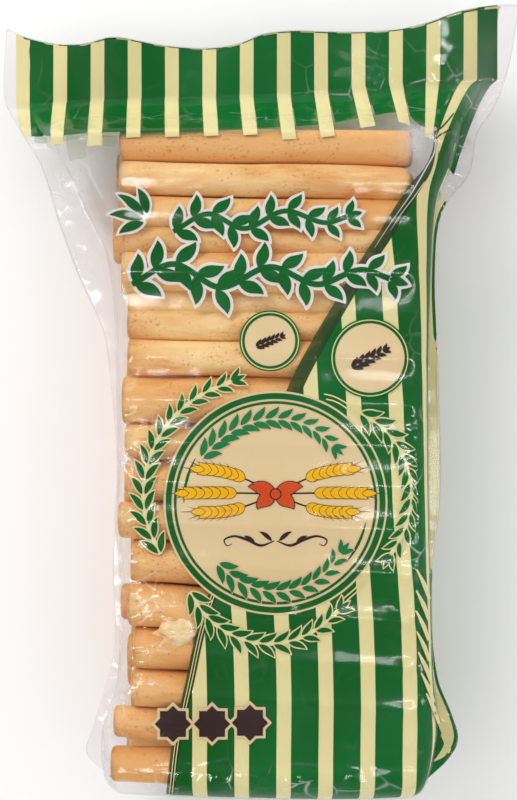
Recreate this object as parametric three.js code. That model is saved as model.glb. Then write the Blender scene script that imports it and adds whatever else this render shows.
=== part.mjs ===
// A sealed clear bag of breadsticks, lying on its back with the printed face up.
// The bag is a flat tube of film pulled over a stack of breadsticks that lie across it. The film
// follows the sticks on the face, falls off over the top stick to a flat sealed header, and closes
// under the lowest stick in a seam. Its two side folds stand out beside the stack as clear fins.
// Millimetres. X runs along the sticks, Y towards the header, and Z up from the surface it lies on.

import * as THREE from 'three';
import { mergeVertices } from 'three/addons/utils/BufferGeometryUtils.js';

// Driving sizes
const FACE_HEIGHT = 59.2; // the film over the highest sticks
const FOLD_HEIGHT = 28; // the side folds, about half way up the stack
const SEAM_HEIGHT = 24; // the bottom seam
const HEADER_HEIGHT = 20; // the header droops a little below the side folds
const FILM_PAIR = 1.4; // the two films of a fin or of the header, with the air between them
const STACK_BOTTOM = - 128.1;
const STACK_TOP = 91.5; // where the film leaves the top stick
const INSET = 3; // the film starts to turn down this far inside the ends of the sticks
const ROUNDING = 2.6; // exponent of the superellipse that the film follows round the stack
const END_BULGE = 1.6; // how far the back of the film stands out beyond the sticks at each side

// Heights of the rows of sticks that the film follows, from the bottom row to the top one.
// A thin row is a stick that lies deeper between its neighbours.
const ROWS = [ 10.3, 10.5, 13.7, 14.4, 15.3, 15.4, 13, 14.7, 12.3, 16.7, 13, 9.2, 5.8, 15.7, 7.9, 10.5, 12, 9.2 ];
const RIPPLE = 1.7; // how far the film dips between two rows
const FULL_ROW = 14; // a row of this height reaches the face
const RECESS = 0.3; // how much deeper a row lies for each millimetre that it is thinner

// Edges of the film, seen from above, as [ y, x ] from the bottom seam to the header
const LEFT_FOLD = [ [ - 141, - 55 ], [ - 131, - 63 ], [ - 118, - 60 ], [ - 106, - 56.5 ], [ - 92, - 53 ],
	[ - 60, - 53.4 ], [ - 30, - 51.8 ], [ 5, - 54.2 ], [ 25, - 57 ], [ 44, - 65.5 ], [ 64, - 73 ], [ 86, - 80 ],
	[ 98, - 87 ], [ 113, - 94.6 ], [ 134, - 94.6 ] ];
const RIGHT_FOLD = [ [ - 141, 62 ], [ - 134, 69 ], [ - 125, 73.2 ], [ - 116, 71 ], [ - 103, 66 ], [ - 60, 64 ],
	[ - 40, 66.5 ], [ 5, 66.3 ], [ 47, 64.8 ], [ 66, 66.6 ], [ 72, 69.2 ], [ 82, 77 ], [ 97, 81 ], [ 104, 87 ],
	[ 113, 92 ], [ 134, 94.6 ] ];

// Where a flat fin meets the rounded side of the bag, and where that side meets the face
const LEFT_ROOT = [ [ - 141, - 52 ], [ - 128, - 56 ], [ - 116, - 55.5 ], [ - 104, - 51.5 ], [ - 92, - 50 ],
	[ - 60, - 50 ], [ - 42, - 51.2 ], [ - 26, - 50.4 ], [ 5, - 50.8 ], [ 41, - 52.6 ], [ 55, - 56 ], [ 67, - 62 ],
	[ 86, - 71 ], [ 98, - 80 ], [ 113, - 86 ], [ 134, - 86 ] ];
const RIGHT_ROOT = [ [ - 141, 59 ], [ - 118, 64 ], [ - 92, 62.5 ], [ 50, 62.5 ], [ 72, 65 ], [ 82, 69 ],
	[ 97, 74 ], [ 113, 84 ], [ 134, 86 ] ];
const LEFT_SIDE = [ [ - 141, - 48 ], [ - 128, - 52 ], [ - 112, - 51.5 ], [ - 101, - 46.5 ], [ - 56, - 46 ],
	[ - 42, - 49.3 ], [ - 28, - 47.5 ], [ 40, - 48.2 ], [ 91, - 50 ], [ 113, - 60 ], [ 134, - 60 ] ];
const RIGHT_SIDE = [ [ - 141, 54 ], [ - 128, 55.5 ], [ 60, 54.5 ], [ 91, 56 ], [ 113, 60 ], [ 134, 60 ] ];

// The ends of the film, as [ x, y ] from left to right
const TOP_EDGE = [ [ - 95, 139.2 ], [ - 86, 135.5 ], [ - 66, 132.5 ], [ - 55, 134.6 ], [ - 36, 132.6 ], [ - 9, 132.6 ],
	[ 2, 136 ], [ 27, 137.7 ], [ 60, 139.2 ], [ 74, 141.8 ], [ 95, 143.2 ] ];
const SEAL_LINE = [ [ - 95, 111 ], [ 0, 114.5 ], [ 95, 119.4 ] ]; // where the header starts to lie flat
const BOTTOM_EDGE = [ [ - 64, - 139 ], [ - 35, - 141.2 ], [ 20, - 143.2 ], [ 45, - 142.8 ], [ 75, - 140 ] ];

// The header's waves
const WAVE_HEIGHT = 2.2;
const WAVE_LENGTH = 62;
const CORNER_LIFT = 15; // the top right corner curls up
const LIFT_FROM = 52;

// Mesh cells: down the bag, and across each stretch of a section
const CELLS = { seam: 6, row: 4, shoulder: 7, header: 5 };
const SPAN = { fin: 2, wall: 6, face: 10 };
const COLUMNS = 2 * ( SPAN.fin + SPAN.wall ) + SPAN.face;
const BACK_SHARE = [ 0, 2, 5, 8, 13, 18, 21, 24, 26 ]; // columns of the face that the flat back repeats

const mix = THREE.MathUtils.lerp;
const ease = THREE.MathUtils.smoothstep;

// A smooth function through a few points, constant beyond its ends.
function through( points ) {

	const curve = new THREE.CubicInterpolant( points.map( p => p[ 0 ] ), points.map( p => p[ 1 ] ), 1 );
	return value => curve.evaluate( value )[ 0 ];

}

const edges = {
	leftFold: through( LEFT_FOLD ),
	leftRoot: through( LEFT_ROOT ),
	leftSide: through( LEFT_SIDE ),
	rightSide: through( RIGHT_SIDE ),
	rightRoot: through( RIGHT_ROOT ),
	rightFold: through( RIGHT_FOLD )
};
const topEdge = through( TOP_EDGE );
const sealLine = through( SEAL_LINE );
const bottomEdge = through( BOTTOM_EDGE );

// Height of the header: share runs from the seal line to the top edge.
function headerHeight( x, share ) {

	const wave = WAVE_HEIGHT * Math.sin( 2 * Math.PI * x / WAVE_LENGTH + 0.8 );
	const lift = CORNER_LIFT * ease( x, LIFT_FROM, edges.rightFold( 134 ) );
	return HEADER_HEIGHT + share * ( wave + lift );

}

// A quarter turn of a superellipse: how far out it is and how far up, from all out to all up.
function quarterTurn( share ) {

	const angle = share * Math.PI / 2;
	return [ Math.cos( angle ) ** ( 2 / ROUNDING ), Math.sin( angle ) ** ( 2 / ROUNDING ) ];

}

// The stations from the bottom seam to the top edge. Each has its y on a straight bag, the heights
// of the face and of the back there, and three shares from 0 to 1: opened, from the seam to the
// full depth of the bag, drop, from the top stick to the seal line, and header, beyond that line.
function stations() {

	const list = [];
	for ( let i = 0; i <= CELLS.seam; i ++ ) {

		const [ out, up ] = quarterTurn( i / CELLS.seam );
		list.push( { y: mix( STACK_BOTTOM, - 141, out ), opened: 1 - out, drop: 0, header: 0,
			face: mix( SEAM_HEIGHT, rowHeight( 0, 0 ), up ), back: mix( SEAM_HEIGHT, 0, up ) } );

	}

	const stretch = ( STACK_TOP - STACK_BOTTOM ) / ROWS.reduce( ( sum, row ) => sum + row );
	let y = STACK_BOTTOM;
	ROWS.forEach( ( row, i ) => {

		for ( let k = 1; k <= CELLS.row; k ++ )
			list.push( { y: y + row * stretch * k / CELLS.row, opened: 1, drop: 0, header: 0,
				face: rowHeight( i, k / CELLS.row ), back: 0 } );
		y += row * stretch;

	} );

	const { face } = list[ list.length - 1 ];
	for ( let i = 1; i <= CELLS.shoulder; i ++ ) {

		const share = i / CELLS.shoulder;
		const drop = Math.sin( share * Math.PI / 2 ) ** 1.3;
		list.push( { y: mix( STACK_TOP, 113, share ), opened: 1, drop, header: 0, face, back: 0, shoulder: share } );

	}

	for ( let i = 1; i <= CELLS.header; i ++ ) {

		const share = i / CELLS.header;
		list.push( { y: mix( 113, 134, share ), opened: 1, drop: 1, header: share, face, back: 0 } );

	}

	return list;

}

// Height of the film over row i, at a share of the way across that row.
function rowHeight( i, share ) {

	const depth = row => RECESS * Math.max( 0, FULL_ROW - ROWS[ row ] );
	const next = Math.min( i + ( share < 0.5 ? - 1 : 1 ), ROWS.length - 1 );
	const beside = depth( Math.max( next, 0 ) );
	const away = Math.abs( 2 * share - 1 );
	return FACE_HEIGHT - mix( depth( i ), ( depth( i ) + beside ) / 2, away ) - RIPPLE * away ** 2;

}

// The six corners of half a section over the stack, from the left fold to the right one.
// side is 1 for the printed half and - 1 for the back.
function sectionCorners( station, side ) {

	const { y, opened } = station;
	const fold = mix( SEAM_HEIGHT, FOLD_HEIGHT, opened );
	const root = fold + side * FILM_PAIR / 2 * opened;
	const flat = side > 0 ? station.face : station.back;
	const bulge = side > 0 ? 0 : END_BULGE * opened * ( 1 - station.drop );
	return [
		new THREE.Vector2( edges.leftFold( y ), fold ),
		new THREE.Vector2( edges.leftRoot( y ), root ),
		new THREE.Vector2( edges.leftSide( y ) - bulge, flat ),
		new THREE.Vector2( edges.rightSide( y ) + bulge, flat ),
		new THREE.Vector2( edges.rightRoot( y ), root ),
		new THREE.Vector2( edges.rightFold( y ), fold )
	];

}

// A point of such a section: column counts mesh cells from the left fold.
function sectionPoint( corners, column ) {

	const [ fold, root, side, far, farRoot, farFold ] = corners;
	const { fin, wall, face } = SPAN;
	if ( column > COLUMNS / 2 ) return sectionPoint( [ farFold, farRoot, far, side, root, fold ], COLUMNS - column );
	if ( column <= fin ) return fold.clone().lerp( root, column / fin );

	const inset = INSET / side.distanceTo( far );
	const onFace = side.clone().lerp( far, inset );
	const onFarFace = far.clone().lerp( side, inset );
	if ( column > fin + wall ) return onFace.lerp( onFarFace, ( column - fin - wall ) / face );

	const [ out, up ] = quarterTurn( ( column - fin ) / wall );
	return new THREE.Vector2( mix( onFace.x, root.x, out ), mix( root.y, onFace.y, up ) );

}

// A point of the bag. The seam is bowed, and over the top stick the film comes down to the header.
function bagPoint( station, side, corners, column ) {

	const { y, opened, drop, header, shoulder } = station;
	const p = sectionPoint( corners, column );
	const fromFold = Math.min( column, COLUMNS - column ) / SPAN.fin;
	const apart = side * FILM_PAIR / 2 * Math.min( 1, fromFold );
	const z = mix( p.y, headerHeight( p.x, header ) + apart, drop );
	if ( header > 0 ) return [ p.x, mix( sealLine( p.x ), topEdge( p.x ), header ), z ];
	if ( shoulder > 0 ) return [ p.x, mix( STACK_TOP, sealLine( p.x ), shoulder ), z ];
	return [ p.x, mix( bottomEdge( p.x ) * y / - 141, y, opened ), z ];

}

// Triangles between two lines of points that start and end together, for any count on each.
// Equal cells are split by a diagonal from the low line's outer ends, or else from the high line's,
// so that the face and the back never share a triangle at a corner of the bag.
function stitch( faces, low, high, fromLowEnds ) {

	let i = 0;
	let j = 0;
	while ( i < low.length - 1 || j < high.length - 1 ) {

		const nextLow = ( i + 1 ) / ( low.length - 1 );
		const nextHigh = ( j + 1 ) / ( high.length - 1 );
		const leftHalf = nextLow <= 0.5;
		const lowFirst = nextLow < nextHigh || ( nextLow === nextHigh && leftHalf !== fromLowEnds );
		if ( j === high.length - 1 || ( i < low.length - 1 && lowFirst ) ) {

			faces.push( low[ i ], low[ i + 1 ], high[ j ] );
			i ++;

		} else {

			faces.push( low[ i ], high[ j + 1 ], high[ j ] );
			j ++;

		}

	}

}

function bagGeometry() {

	const rows = stations();
	const positions = [];
	const addLine = ( station, side, columns ) => {

		const corners = sectionCorners( station, side );
		return columns.map( column => {

			positions.push( ...bagPoint( station, side, corners, column ) );
			return positions.length / 3 - 1;

		} );

	};

	const all = Array.from( { length: COLUMNS + 1 }, ( _, i ) => i );
	const face = rows.map( station => addLine( station, 1, all ) );

	// The back shares the face's two side folds, its seam and its top edge
	const last = rows.length - 1;
	const back = rows.map( ( station, r ) => {

		if ( r === 0 || r === last ) return face[ r ];
		const line = addLine( station, - 1, BACK_SHARE );
		line[ 0 ] = face[ r ][ 0 ];
		line[ line.length - 1 ] = face[ r ][ COLUMNS ];
		return line;

	} );

	const faces = [];
	for ( let r = 0; r < last; r ++ ) {

		stitch( faces, face[ r ], face[ r + 1 ], r === 0 );
		const under = [];
		stitch( under, back[ r ], back[ r + 1 ], r === 0 );
		faces.push( ...under.reverse() );

	}

	const geometry = new THREE.BufferGeometry();
	geometry.setAttribute( 'position', new THREE.Float32BufferAttribute( positions, 3 ) );
	geometry.setIndex( faces );
	return mergeVertices( geometry, 1e-4 );

}

function bag() {

	const geometry = bagGeometry();
	geometry.computeVertexNormals();
	const film = new THREE.MeshStandardMaterial( { color: 0xd9a765, roughness: 0.25, metalness: 0 } );
	const mesh = new THREE.Mesh( geometry, film );
	mesh.name = 'bag';

	// The origin is under the middle of the bag's box
	geometry.computeBoundingBox();
	const middle = geometry.boundingBox.getCenter( new THREE.Vector3() );
	mesh.position.set( - middle.x, - middle.y, 0 );
	return mesh;

}

const pack = new THREE.Group();
pack.add( bag() );

export default pack;
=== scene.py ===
"""A sealed clear bag of breadsticks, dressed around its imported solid.

The film is a finer copy of the solid's own surface, drawn down over the breadsticks that fill it.
The print is thin patches of ink just under the film, and everything else is bread.
Sizes are in millimetres until a mesh is made. X runs along the sticks, Y towards the header, Z up.
"""

import math

import bmesh
import bpy
import numpy as np
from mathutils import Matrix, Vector
from mathutils.bvhtree import BVHTree


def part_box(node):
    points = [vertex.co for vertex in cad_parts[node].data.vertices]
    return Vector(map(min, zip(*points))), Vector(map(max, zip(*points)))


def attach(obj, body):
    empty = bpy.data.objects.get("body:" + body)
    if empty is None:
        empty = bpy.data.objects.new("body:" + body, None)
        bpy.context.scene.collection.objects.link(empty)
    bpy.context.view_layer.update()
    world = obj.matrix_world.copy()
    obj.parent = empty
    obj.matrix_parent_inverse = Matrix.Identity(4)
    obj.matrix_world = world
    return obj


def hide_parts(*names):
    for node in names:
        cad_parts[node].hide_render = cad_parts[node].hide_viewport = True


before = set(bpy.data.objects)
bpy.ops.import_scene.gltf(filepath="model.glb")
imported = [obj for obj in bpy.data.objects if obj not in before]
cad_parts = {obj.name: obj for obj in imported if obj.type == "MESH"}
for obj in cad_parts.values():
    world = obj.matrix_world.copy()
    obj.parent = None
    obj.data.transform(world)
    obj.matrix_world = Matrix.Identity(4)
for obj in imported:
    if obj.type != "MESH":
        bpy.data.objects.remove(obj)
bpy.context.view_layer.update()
rng = np.random.default_rng(7)  # every draw comes from here or from a seed of its own

# The bag's shape, as in the solid
FACE_HEIGHT = 59.2
FOLD_HEIGHT = 28
SEAM_HEIGHT = 24
HEADER_HEIGHT = 20
FILM_PAIR = 1.4
SEAM_Y = -141
STACK_BOTTOM = -128.1
STACK_TOP = 91.5
SEAL_Y = 113
TOP_Y = 134
INSET = 3
ROUNDING = 2.6
END_BULGE = 1.6
ROWS = [10.3, 10.5, 13.7, 14.4, 15.3, 15.4, 13, 14.7, 12.3, 16.7, 13, 9.2, 5.8, 15.7, 7.9, 10.5, 12, 9.2]
WAVE_HEIGHT = 2.2
WAVE_LENGTH = 62
WAVE_PHASE = 0.8
SHOULDER_POWER = 1.3
CORNER_LIFT = 15
LIFT_FROM = 52

LEFT_FOLD = [(-141, -55), (-131, -63), (-118, -60), (-106, -56.5), (-92, -53), (-60, -53.4), (-30, -51.8),
             (5, -54.2), (25, -57), (44, -65.5), (64, -73), (86, -80), (98, -87), (113, -94.6), (134, -94.6)]
RIGHT_FOLD = [(-141, 62), (-134, 69), (-125, 73.2), (-116, 71), (-103, 66), (-60, 64), (-40, 66.5), (5, 66.3),
              (47, 64.8), (66, 66.6), (72, 69.2), (82, 77), (97, 81), (104, 87), (113, 92), (134, 94.6)]
LEFT_ROOT = [(-141, -52), (-128, -56), (-116, -55.5), (-104, -51.5), (-92, -50), (-60, -50), (-42, -51.2),
             (-26, -50.4), (5, -50.8), (41, -52.6), (55, -56), (67, -62), (86, -71), (98, -80), (113, -86),
             (134, -86)]
RIGHT_ROOT = [(-141, 59), (-118, 64), (-92, 62.5), (50, 62.5), (72, 65), (82, 69), (97, 74), (113, 84),
              (134, 86)]
LEFT_SIDE = [(-141, -48), (-128, -52), (-112, -51.5), (-101, -46.5), (-56, -46), (-42, -49.3), (-28, -47.5),
             (40, -48.2), (91, -50), (113, -60), (134, -60)]
RIGHT_SIDE = [(-141, 54), (-128, 55.5), (60, 54.5), (91, 56), (113, 60), (134, 60)]
TOP_EDGE = [(-95, 139.2), (-86, 135.5), (-66, 132.5), (-55, 134.6), (-36, 132.6), (-9, 132.6), (2, 136),
            (27, 137.7), (60, 139.2), (74, 141.8), (95, 143.2)]
SEAL_LINE = [(-95, 111), (0, 114.5), (95, 119.4)]
BOTTOM_EDGE = [(-64, -139), (-35, -141.2), (20, -143.2), (45, -142.8), (75, -140)]

# Mesh cells of the film: down the bag and across a section
CELLS = {"seam": 14, "row": 9, "shoulder": 22, "header": 20}
FIN, WALL, FACE = 10, 22, 80
COLUMNS = 2 * (FIN + WALL) + FACE

# The photograph's eye, straight above the face
EYE = np.array([0.0, -0.3, 460.0])
PRINT_PLANE = 60.0
PHOTO_HEIGHT = 272.0  # how much of the print's plane the photograph takes in from top to bottom


# Curves and small helpers

def mix(a, b, share):
    return a + (b - a) * share


def ease(value, low, high):
    share = np.clip((value - low) / (high - low), 0, 1)
    return share * share * (3 - 2 * share)


def through(points):
    """A smooth curve through a few points, constant beyond its ends."""
    t, v = (np.array(column, float) for column in zip(*points))

    def evaluate(value):
        at = np.clip(value, t[0], t[-1])
        i = np.clip(np.searchsorted(t, at, side="right"), 1, len(t) - 1)
        before = np.where(i > 1, i - 2, i)
        after = np.where(i < len(t) - 1, np.minimum(i + 1, len(t) - 1), i - 1)
        half = (t[i] - t[i - 1]) / 2
        wp = half / (t[i - 1] - t[before])
        wn = half / (t[after] - t[i])
        p = (at - t[i - 1]) / (t[i] - t[i - 1])
        return (v[before] * (-wp * p**3 + 2 * wp * p**2 - wp * p)
                + v[i - 1] * ((1 + wp) * p**3 + (-1.5 - 2 * wp) * p**2 + (wp - 0.5) * p + 1)
                + v[i] * ((-1 - wn) * p**3 + (1.5 + wn) * p**2 + 0.5 * p)
                + v[after] * (wn * p**3 - wn * p**2))

    return evaluate


def straight(points):
    """A piecewise straight curve through a few points."""
    t, v = zip(*points)
    return lambda value: np.interp(value, t, v)


def smooth_noise(shape, cells, seed):
    """Random field of unit spread whose bumps are about that many cells across."""
    white = np.random.default_rng(seed).normal(size=shape)
    fy = np.fft.fftfreq(shape[0])[:, None]
    fx = np.fft.fftfreq(shape[1])[None, :]
    soft = np.exp(-(fx**2 + fy**2) * cells**2 * 2)
    field = np.real(np.fft.ifft2(np.fft.fft2(white) * soft))
    return (field - field.mean()) / field.std()


left_fold, right_fold = through(LEFT_FOLD), through(RIGHT_FOLD)
left_root, right_root = through(LEFT_ROOT), through(RIGHT_ROOT)
left_side, right_side = through(LEFT_SIDE), through(RIGHT_SIDE)
top_edge, seal_line, bottom_edge = through(TOP_EDGE), through(SEAL_LINE), through(BOTTOM_EDGE)


# The film's shape before it settles on the sticks

def header_height(x, share):
    wave = WAVE_HEIGHT * np.sin(2 * math.pi * x / WAVE_LENGTH + WAVE_PHASE)
    lift = CORNER_LIFT * ease(x, LIFT_FROM, right_fold(TOP_Y))
    return HEADER_HEIGHT + share * (wave + lift)


def quarter_turn(share):
    """A quarter turn of a superellipse: how far out it is and how far up, from all out to all up."""
    angle = np.asarray(share) * math.pi / 2
    return np.abs(np.cos(angle)) ** (2 / ROUNDING), np.abs(np.sin(angle)) ** (2 / ROUNDING)


PLAIN = dict(opened=1, drop=0, shoulder=0, header=0, face=FACE_HEIGHT, back=0)


def shares(count, start=1):
    return [i / count for i in range(start, count + 1)]


def stations():
    """One dictionary for each line of the film's mesh, from the bottom seam to the top edge."""
    found = []
    for share in shares(CELLS["seam"], 0):
        out, up = quarter_turn(share)
        found.append(dict(PLAIN, y=mix(STACK_BOTTOM, SEAM_Y, out), opened=1 - out,
                          face=mix(SEAM_HEIGHT, FACE_HEIGHT, up), back=mix(SEAM_HEIGHT, 0, up)))
    for share in shares(CELLS["row"] * len(ROWS)):
        found.append(dict(PLAIN, y=mix(STACK_BOTTOM, STACK_TOP, share)))
    for share in shares(CELLS["shoulder"]):
        drop = math.sin(share * math.pi / 2) ** SHOULDER_POWER
        found.append(dict(PLAIN, y=mix(STACK_TOP, SEAL_Y, share), shoulder=share, drop=drop))
    for share in shares(CELLS["header"]):
        found.append(dict(PLAIN, y=mix(SEAL_Y, TOP_Y, share), shoulder=1, drop=1, header=share))
    return found


def half_section(fold, root, face_from):
    """The points from one fold up its fin and round the ends of the sticks, as x and height."""
    fin = fold + (root - fold) * np.linspace(0, 1, FIN + 1)[:, None]
    out, up = quarter_turn(np.linspace(0, 1, WALL + 1)[1:])
    wall = np.stack([mix(face_from[0], root[0], out), mix(root[1], face_from[1], up)], axis=1)
    return np.concatenate([fin, wall])


def film_line(station, side):
    """One line of the film across the bag: side is 1 for the printed half and -1 for the back."""
    y, opened, drop = station["y"], station["opened"], station["drop"]
    shoulder, header = station["shoulder"], station["header"]
    fold = mix(SEAM_HEIGHT, FOLD_HEIGHT, opened)
    root = fold + side * FILM_PAIR / 2 * opened
    flat = station["face"] if side > 0 else station["back"]
    bulge = 0 if side > 0 else END_BULGE * opened * (1 - drop)
    left = np.array([left_side(y) - bulge, flat])
    right = np.array([right_side(y) + bulge, flat])
    inset = (right - left) * INSET / np.linalg.norm(right - left)
    first = half_section(np.array([left_fold(y), fold]), np.array([left_root(y), root]), left + inset)
    last = half_section(np.array([right_fold(y), fold]), np.array([right_root(y), root]), right - inset)
    face = np.linspace(left + inset, right - inset, FACE + 1)[1:-1]
    line = np.concatenate([first, face, last[::-1]])

    # The seam is bowed, and over the top stick the film comes down to the header
    x = line[:, 0]
    from_fold = np.minimum(np.arange(COLUMNS + 1), COLUMNS - np.arange(COLUMNS + 1)) / FIN
    apart = side * FILM_PAIR / 2 * np.minimum(1, from_fold)
    z = mix(line[:, 1], header_height(x, header) + apart, drop)
    if header > 0:
        ys = mix(seal_line(x), top_edge(x), header)
    elif shoulder > 0:
        ys = mix(STACK_TOP, seal_line(x), shoulder)
    else:
        ys = mix(bottom_edge(x) * y / SEAM_Y, y, opened)
    return np.stack([x, ys + 0 * x, z], axis=1)


LINES = stations()
LINE_Y = np.array([s["y"] for s in LINES])
base_front = np.array([film_line(s, 1) for s in LINES])
base_back = np.array([film_line(s, -1) for s in LINES])
base_back[0], base_back[-1] = base_front[0], base_front[-1]
base_back[:, 0], base_back[:, -1] = base_front[:, 0], base_front[:, -1]

# The solid's middle is the frame's origin
low, high = (np.array(corner) * 1000 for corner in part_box("bag"))
everything = np.concatenate([base_front.reshape(-1, 3), base_back.reshape(-1, 3)])
MIDDLE = (everything.min(0) + everything.max(0)) / 2 - (low + high) / 2
MIDDLE[2] = 0


def metres(points):
    return (np.asarray(points, float).reshape(-1, 3) - MIDDLE) / 1000


def new_object(name, points, faces, material, smooth=True):
    mesh = bpy.data.meshes.new(name)
    mesh.from_pydata(metres(points).tolist(), [], faces)
    mesh.materials.append(material)
    mesh.update()
    if smooth:
        mesh.polygons.foreach_set("use_smooth", [True] * len(mesh.polygons))
    thing = bpy.data.objects.new(name, mesh)
    bpy.context.scene.collection.objects.link(thing)
    return thing


def merge_close(thing, distance=2e-6):
    """Joins points that fall together, and takes away faces without area and points without a face."""
    work = bmesh.new()
    work.from_mesh(thing.data)
    bmesh.ops.remove_doubles(work, verts=work.verts, dist=distance)
    bmesh.ops.dissolve_degenerate(work, edges=work.edges, dist=distance)
    bmesh.ops.delete(work, geom=[v for v in work.verts if not v.link_faces], context="VERTS")
    work.to_mesh(thing.data)
    work.free()


def set_attribute(thing, name, values):
    """Gives each point a value that the material reads."""
    attribute = thing.data.attributes.new(name, "FLOAT", "POINT")
    attribute.data.foreach_set("value", values.astype(np.float32))


# Materials

def linear(red, green, blue):
    """A shader colour from one on the screen's 0 to 255."""
    share = np.array([red, green, blue]) / 255
    return (*np.where(share <= 0.04045, share / 12.92, ((share + 0.055) / 1.055) ** 2.4), 1.0)


BLACK, WHITE = (0, 0, 0, 1), (1, 1, 1, 1)


class Nodes:
    """Short calls for building one material's nodes."""

    def __init__(self, name):
        self.material = bpy.data.materials.new(name)
        self.material.use_nodes = True
        self.tree = self.material.node_tree
        self.tree.nodes.clear()
        self.output = self.add("ShaderNodeOutputMaterial")

    def add(self, kind, **settings):
        node = self.tree.nodes.new(kind)
        for name, value in settings.items():
            if name in node.inputs:
                node.inputs[name].default_value = value
            else:
                setattr(node, name, value)
        return node

    def join(self, source, target):
        self.tree.links.new(source, target)

    def feed(self, value, socket):
        """Joins a socket's value to another socket, or sets a plain one."""
        if isinstance(value, bpy.types.NodeSocket):
            self.join(value, socket)
        else:
            socket.default_value = value

    def place(self):
        return self.add("ShaderNodeTexCoord").outputs["Object"]

    def attribute(self, name):
        return self.add("ShaderNodeAttribute", attribute_name=name).outputs["Fac"]

    def surface(self, colour, roughness, specular=0.5, metallic=0.0):
        shader = self.add("ShaderNodeBsdfPrincipled", Roughness=roughness, Metallic=metallic)
        shader.inputs["Specular IOR Level"].default_value = specular
        self.feed(colour, shader.inputs["Base Color"])
        return shader

    def mixed(self, share, first, second):
        """Two shaders mixed, with that share of the second."""
        node = self.add("ShaderNodeMixShader")
        self.feed(share, node.inputs["Fac"])
        self.join(first.outputs[0], node.inputs[1])
        self.join(second.outputs[0], node.inputs[2])
        return node

    def finished(self, shader):
        self.join(shader.outputs[0], self.output.inputs["Surface"])
        return self.material

    def noise(self, scale, detail, stretch=(1, 1, 1), roughness=0.5):
        mapping = self.add("ShaderNodeMapping", Scale=stretch)
        noise = self.add("ShaderNodeTexNoise", Scale=scale, Detail=detail, Roughness=roughness)
        self.join(self.place(), mapping.inputs["Vector"])
        self.join(mapping.outputs["Vector"], noise.inputs["Vector"])
        return noise.outputs["Fac"]

    def ramp(self, source, stops):
        ramp = self.add("ShaderNodeValToRGB")
        elements = ramp.color_ramp.elements
        while len(elements) < len(stops):
            elements.new(0.5)
        for element, (place, colour) in zip(elements, stops):
            element.position = place
            element.color = colour
        self.join(source, ramp.inputs["Fac"])
        return ramp.outputs["Color"]

    def blend(self, share, first, second):
        node = self.add("ShaderNodeMix", data_type="RGBA")
        for at, value in ((0, share), (6, first), (7, second)):
            self.feed(value, node.inputs[at])
        return node.outputs[2]

    def maths(self, operation, first, second=0.0, clamp=False):
        node = self.add("ShaderNodeMath", operation=operation, use_clamp=clamp)
        for at, value in enumerate((first, second)):
            self.feed(value, node.inputs[at])
        return node.outputs[0]

    def times(self, first, second, clamp=False):
        return self.maths("MULTIPLY", first, second, clamp)

    def bran(self, scale, full, none, share, spread):
        """Round specks in loose groups: full and none are their sizes, and a larger share leaves fewer."""
        warped = self.warped(scale * 0.8, 0.5 / scale)
        spots = self.add("ShaderNodeTexVoronoi", Scale=scale)
        self.join(warped, spots.inputs["Vector"])
        small = self.ramp(spots.outputs["Distance"], [(full, WHITE), (none, BLACK)])
        groups = self.ramp(self.noise(spread, 3), [(share, BLACK), (share + 0.1, WHITE)])
        return self.times(small, groups)

    def warped(self, scale, reach, detail=2.0):
        """Object coordinates pushed about by noise, by up to half the reach."""
        place = self.place()
        noise = self.add("ShaderNodeTexNoise", Scale=scale, Detail=detail)
        self.join(place, noise.inputs["Vector"])
        push = self.add("ShaderNodeVectorMath", operation="MULTIPLY_ADD")
        for at, value in enumerate((noise.outputs["Color"], (reach, reach, reach), place)):
            self.feed(value, push.inputs[at])
        return push.outputs[0]

    def bump(self, height, strength, distance):
        node = self.add("ShaderNodeBump", Strength=strength, Distance=distance)
        self.join(height, node.inputs["Height"])
        return node.outputs["Normal"]


def bread_material(name, *colours):
    """Baked dough: long soft streaks, fine grain, bran specks and flakes, browner at its rims."""
    n = Nodes(name)
    light, middle, dark, speck = (linear(*colour) for colour in colours)
    streaks = n.noise(120, 6, (0.28, 1, 1), 0.65)
    patches = n.noise(48, 3, (0.5, 1, 1))
    tone = n.maths("ADD", n.times(streaks, 0.5), n.times(patches, 0.5))
    colour = n.ramp(tone, [(0.4, dark), (0.49, middle), (0.57, light)])

    # Each stick has a tone of its own, darker for the top row as painted shade under the header, and its cut
    # rims are toasted
    colour = n.blend(n.times(n.attribute("tone_and_shade"), 0.75, clamp=True), colour, dark)
    colour = n.blend(n.times(n.attribute("toasted"), n.noise(260, 2), clamp=True), colour, speck)

    # Bran in two sizes, in loose groups, and toasted flakes
    bran = [n.bran(300, 0.08, 0.22, 0.5, 60), n.bran(640, 0.14, 0.3, 0.46, 95)]
    for specks, strength in zip(bran, (0.46, 0.42)):
        colour = n.blend(n.times(specks, strength), colour, speck)
    flakes = n.ramp(n.noise(430, 5, (0.4, 1, 1), 0.7), [(0.56, BLACK), (0.68, WHITE)])
    clusters = n.ramp(n.noise(55, 4, (0.6, 1, 1)), [(0.5, BLACK), (0.66, WHITE)])
    flakes = n.times(flakes, clusters)
    colour = n.blend(n.times(flakes, 0.62), colour, speck)

    height = n.maths("ADD", n.times(n.noise(1000, 3), 0.3), n.noise(170, 4, (0.3, 1, 1), 0.6))
    shader = n.surface(colour, 0.6, specular=0.3)
    n.join(n.bump(height, 0.8, 0.0009), shader.inputs["Normal"])
    return n.finished(shader)


def ink_material(name, colour, second, cover):
    """Printed ink with a faint two-colour mottle: partly the unevenness of a flexo print, and on the green
    partly painted sheen of soft reflections in the film. cover is how much it hides.
    """
    n = Nodes(name)
    tone = n.ramp(n.noise(16, 2, (1, 0.5, 1)), [(0.38, linear(*second)), (0.6, linear(*colour))])
    shader = n.surface(tone, 0.4, specular=0.03)
    if cover < 1:
        shader = n.mixed(cover, n.add("ShaderNodeBsdfTransparent"), shader)
    return n.finished(shader)


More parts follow.
